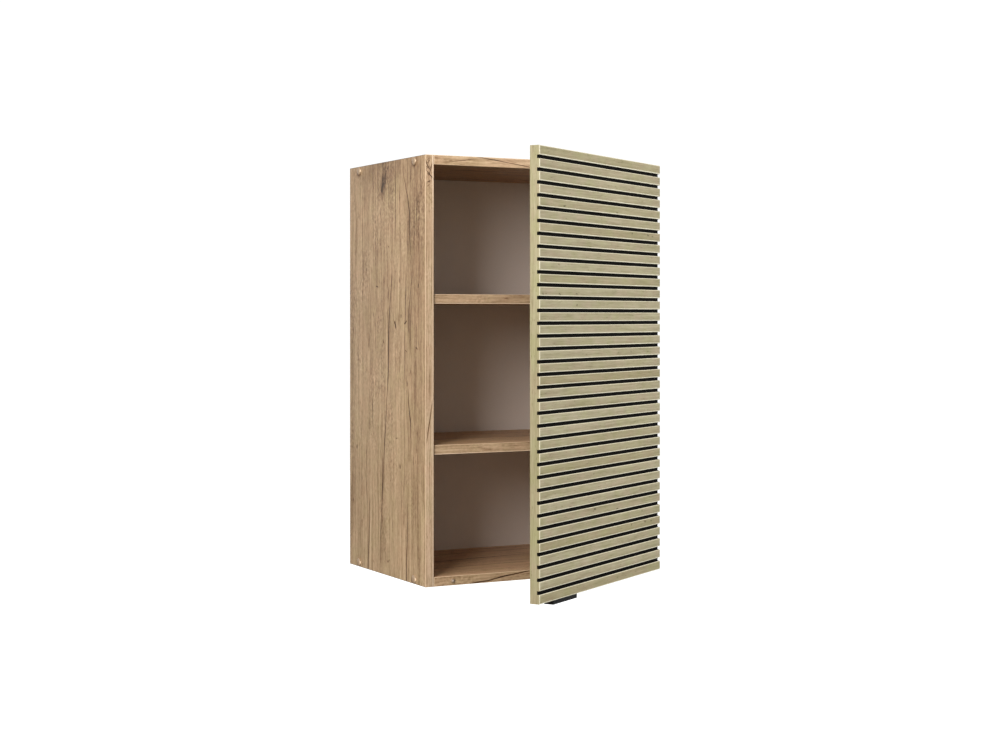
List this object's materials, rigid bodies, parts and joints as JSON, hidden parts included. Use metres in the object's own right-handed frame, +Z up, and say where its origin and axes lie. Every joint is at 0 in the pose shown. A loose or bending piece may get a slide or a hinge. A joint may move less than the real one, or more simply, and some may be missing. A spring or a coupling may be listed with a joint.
{
  "type": "hanging wall cabinet",
  "caption": "Narrow wall-hung cabinet with oak-look boards, shelves and a right-hinged slatted door with a black edge pull under it.",
  "frame": {"origin": "middle of the underside's rear edge, on the wall plane", "axes": "+X to the right seen from the front, +Y into the wall, +Z up; the door faces -Y"},
  "size_m": [0.454, 0.5807, 0.7246],
  "materials": {
    "oak_board": "satin melamine oak",
    "oak_edge_band": "satin edge band",
    "back_board": "matte lacquered fibreboard",
    "door_slats": "milled slats, dark grooves",
    "black_pull": "black anodised",
    "cap_plastic": "satin",
    "clear_bumper": "clear soft",
    "beech": "raw",
    "hanger_plastic": "satin",
    "zinc_steel": "zinc plated",
    "nickel_steel": "nickel plated"
  },
  "bodies": {
    "carcass": {"back_panel": "back_board", "bottom_panel": "oak_board", "carcass_edge_bands": "oak_edge_band", "carcass_screws": "zinc_steel", "door_bumper": "clear_bumper", "hanger_height_screw_left": "zinc_steel", "hanger_height_screw_right": "zinc_steel", "hanger_housing_left": "hanger_plastic", "hanger_housing_right": "hanger_plastic", "hinge_lower_arm": "nickel_steel", "hinge_lower_arm_screws": "zinc_steel", "hinge_lower_plate": "nickel_steel", "hinge_lower_plate_screws": "zinc_steel", "hinge_upper_arm": "nickel_steel", "hinge_upper_arm_screws": "zinc_steel", "hinge_upper_plate": "nickel_steel", "hinge_upper_plate_screws": "zinc_steel", "screw_cover_caps": "cap_plastic", "shelf_edge_bands": "oak_edge_band", "shelf_lower": "oak_board", "shelf_pins": "zinc_steel", "shelf_upper": "oak_board", "side_panel_left": "oak_board", "side_panel_right": "oak_board", "top_panel": "oak_board", "wooden_dowels": "beech"},
    "door": {"door_panel": "door_slats", "handle": "black_pull", "handle_screws": "zinc_steel", "hinge_lower_cup": "nickel_steel", "hinge_lower_cup_screws": "zinc_steel", "hinge_lower_pin": "zinc_steel", "hinge_upper_cup": "nickel_steel", "hinge_upper_cup_screws": "zinc_steel", "hinge_upper_pin": "zinc_steel"},
    "hook_left": {"hanger_hook_left": "zinc_steel", "hanger_depth_screw_left": "zinc_steel"},
    "hook_right": {"hanger_hook_right": "zinc_steel", "hanger_depth_screw_right": "zinc_steel"}
  },
  "joints": [
    {"name": "door_swing", "type": "hinge", "parent": "carcass", "child": "door", "pos_m": [0.216, -0.336, 0.36], "axis": [0, 0, 1], "range_deg": [-32.7, 67.3]},
    {"name": "hook_left_depth", "type": "slide", "parent": "carcass", "child": "hook_left", "axis": [0, 1, 0], "range_m": [-0.0075, 0]},
    {"name": "hook_right_depth", "type": "slide", "parent": "carcass", "child": "hook_right", "axis": [0, 1, 0], "range_m": [-0.0075, 0]}
  ]
}
